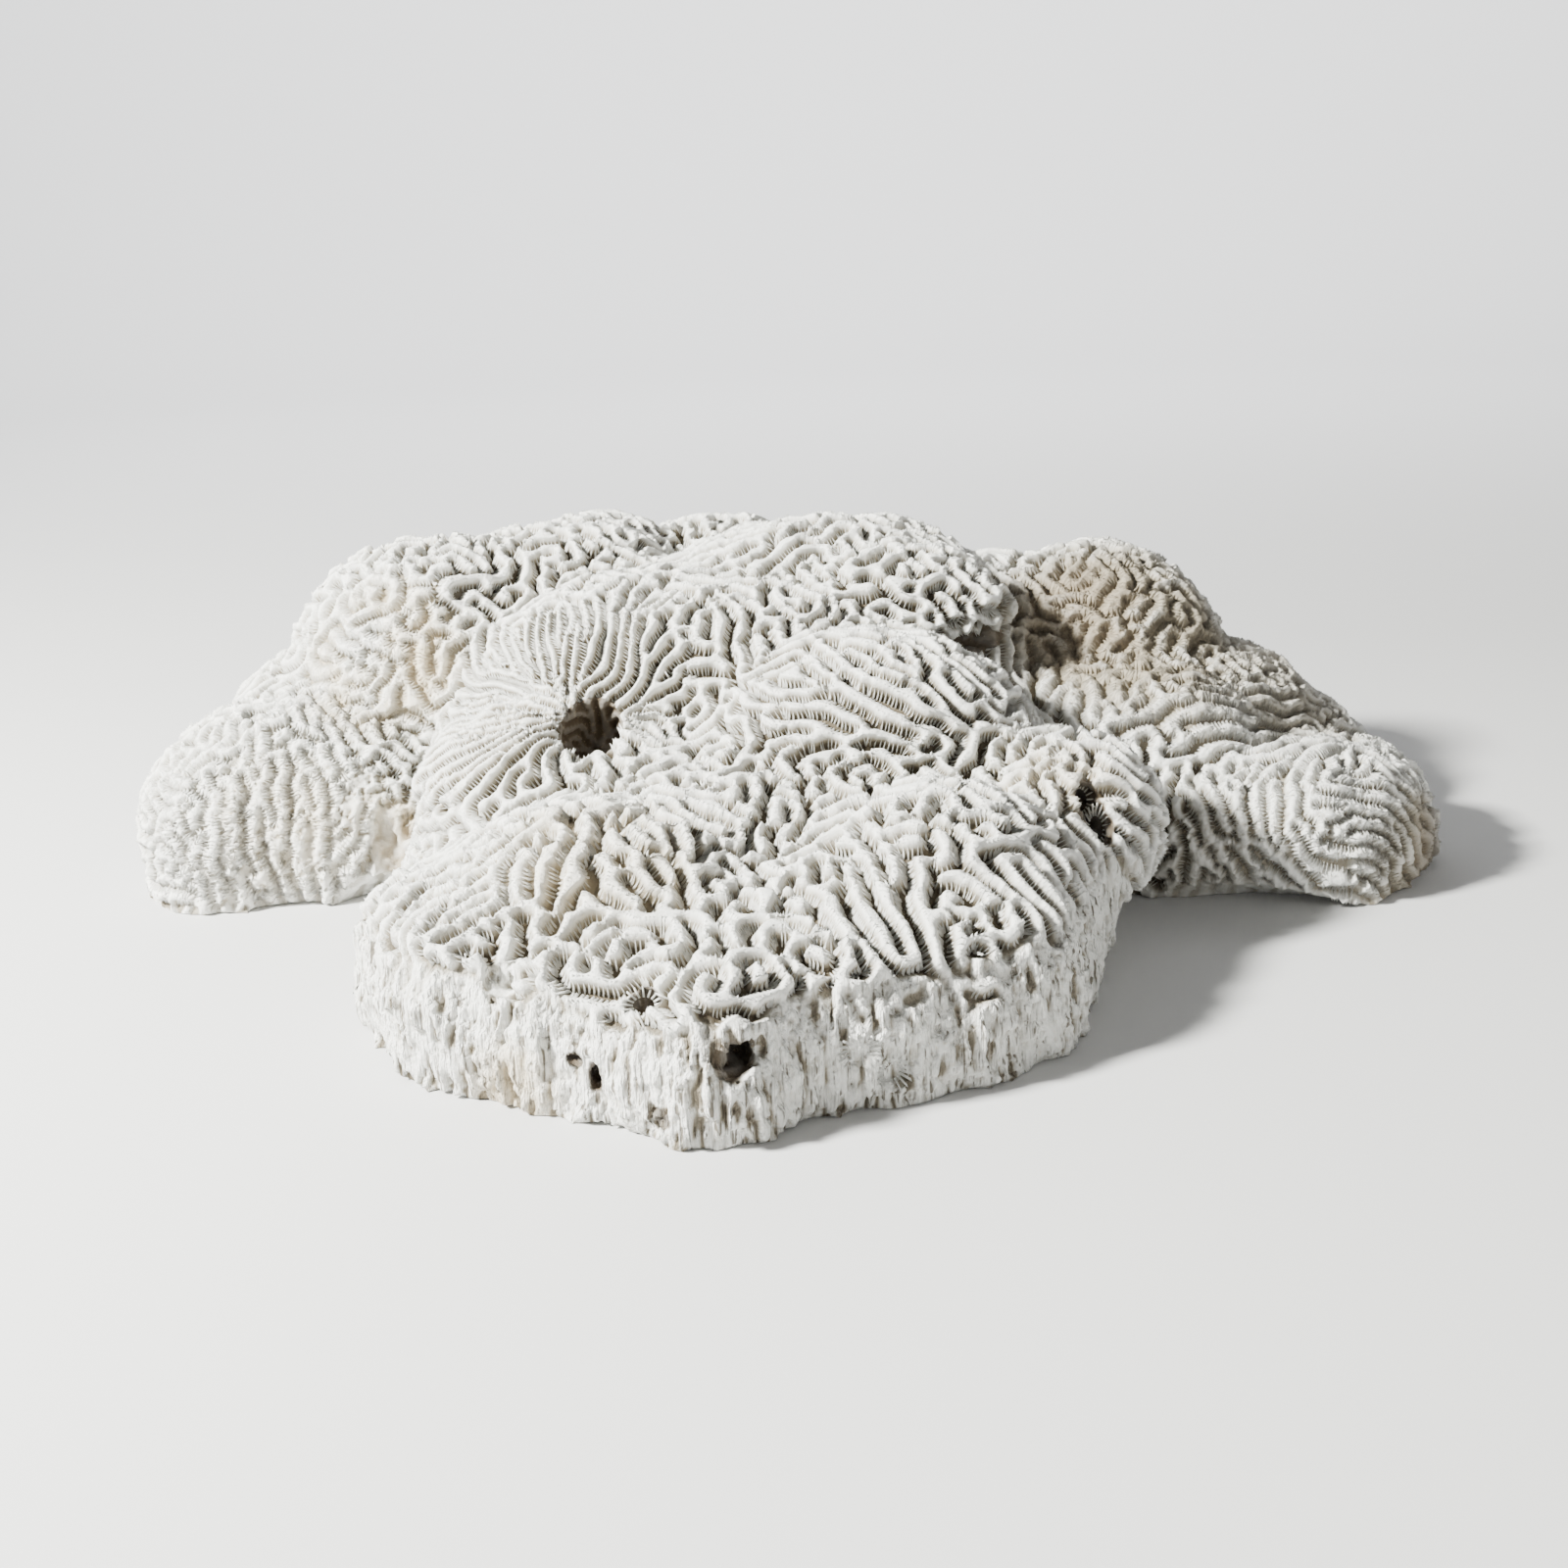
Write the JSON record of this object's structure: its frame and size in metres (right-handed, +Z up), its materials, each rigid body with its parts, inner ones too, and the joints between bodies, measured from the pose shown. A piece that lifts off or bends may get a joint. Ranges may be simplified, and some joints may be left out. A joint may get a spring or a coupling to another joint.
{
  "type": "brain coral",
  "caption": "Bleached brain coral skeleton with lobed arms, winding ridges and an eaten-out hole, sawn flat underneath so that it rests on its base.",
  "frame": {"origin": "middle of the outer box in X and Y, on the flat sawn base", "axes": "+X along the longest side, from the left arm to the right wing seen from the front; +Y from the front rim to the back; +Z up from the base"},
  "size_m": [0.3372, 0.288, 0.0859],
  "materials": {
    "coral_limestone": "dry, chalky off-white coral limestone, rough, no shine"
  },
  "bodies": {
    "root": {"coral": "coral_limestone"}
  },
  "joints": []
}
